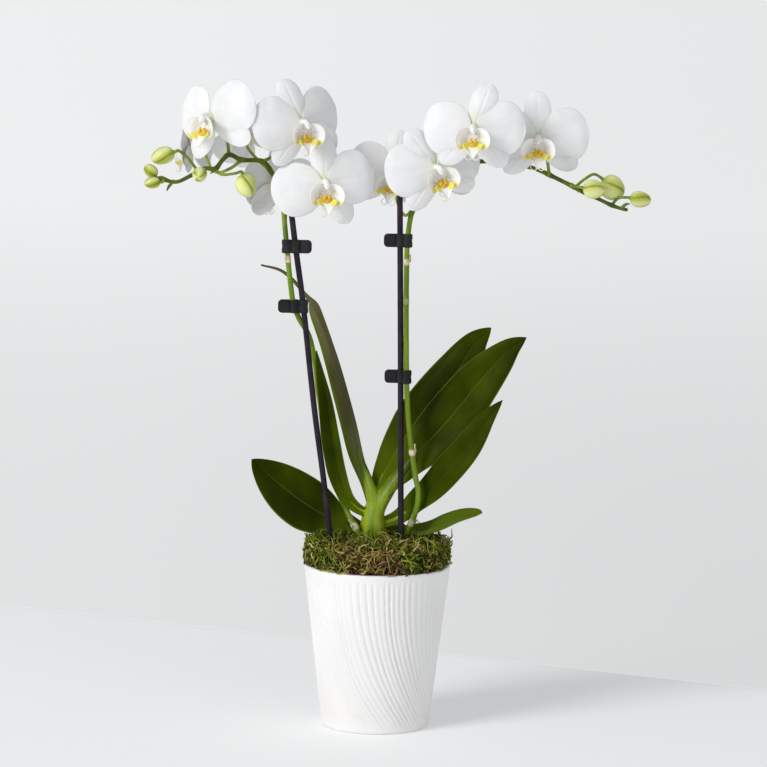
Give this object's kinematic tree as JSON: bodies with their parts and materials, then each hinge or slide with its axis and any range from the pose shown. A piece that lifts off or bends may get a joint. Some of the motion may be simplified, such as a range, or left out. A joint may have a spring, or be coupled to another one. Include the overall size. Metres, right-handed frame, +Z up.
{
  "type": "potted orchid",
  "caption": "White moth orchid in a tapered round glazed pot, with moss on top, long strap leaves and two staked, branching flower spikes with open flowers and buds.",
  "frame": {"origin": "centre of the pot's flat base, where it stands", "axes": "+Z up through the pot; the spikes spread along X and the plant is seen from -Y, its widest side"},
  "size_m": [0.3943, 0.1244, 0.5084],
  "materials": {
    "pot_glaze": "matte",
    "liner_plastic": "satin",
    "moss": "matte",
    "bark": "matte",
    "crown_green": "satin",
    "leaf_green": "satin",
    "stem_green": "satin",
    "petal_white": "matte",
    "lip_yellow": "satin",
    "bud_green": "satin",
    "stake_plastic": "satin",
    "clip_plastic": "satin"
  },
  "bodies": {
    "root": {"ceramic_pot": "pot_glaze", "grower_pot": "liner_plastic", "crown_and_roots": "crown_green", "leaf_1": "leaf_green", "leaf_2": "leaf_green", "leaf_3": "leaf_green", "leaf_4": "leaf_green", "leaf_5": "leaf_green", "leaf_6": "leaf_green", "leaf_7": "leaf_green", "flower_1_tepals": "petal_white", "flower_1_lip": "lip_yellow", "flower_2_tepals": "petal_white", "flower_2_lip": "lip_yellow", "flower_3_tepals": "petal_white", "flower_3_lip": "lip_yellow", "flower_4_tepals": "petal_white", "flower_4_lip": "lip_yellow", "flower_5_tepals": "petal_white", "flower_5_lip": "lip_yellow", "flower_6_tepals": "petal_white", "flower_6_lip": "lip_yellow", "flower_7_tepals": "petal_white", "flower_7_lip": "lip_yellow", "flower_8_tepals": "petal_white", "flower_8_lip": "lip_yellow", "flower_9_tepals": "petal_white", "flower_9_lip": "lip_yellow", "flower_10_tepals": "petal_white", "flower_10_lip": "lip_yellow", "flower_11_tepals": "petal_white", "flower_11_lip": "lip_yellow", "bud_1": "bud_green", "bud_2": "bud_green", "bud_3": "bud_green", "bud_4": "bud_green", "bud_5": "bud_green", "bud_6": "bud_green", "bud_7": "bud_green", "bud_8": "bud_green", "left_spike": "stem_green", "right_spike": "stem_green", "left_stake": "stake_plastic", "right_stake": "stake_plastic", "potting_mix": "bark", "moss": "moss", "clip_1": "clip_plastic", "clip_2": "clip_plastic", "clip_3": "clip_plastic", "clip_4": "clip_plastic"}
  },
  "joints": []
}
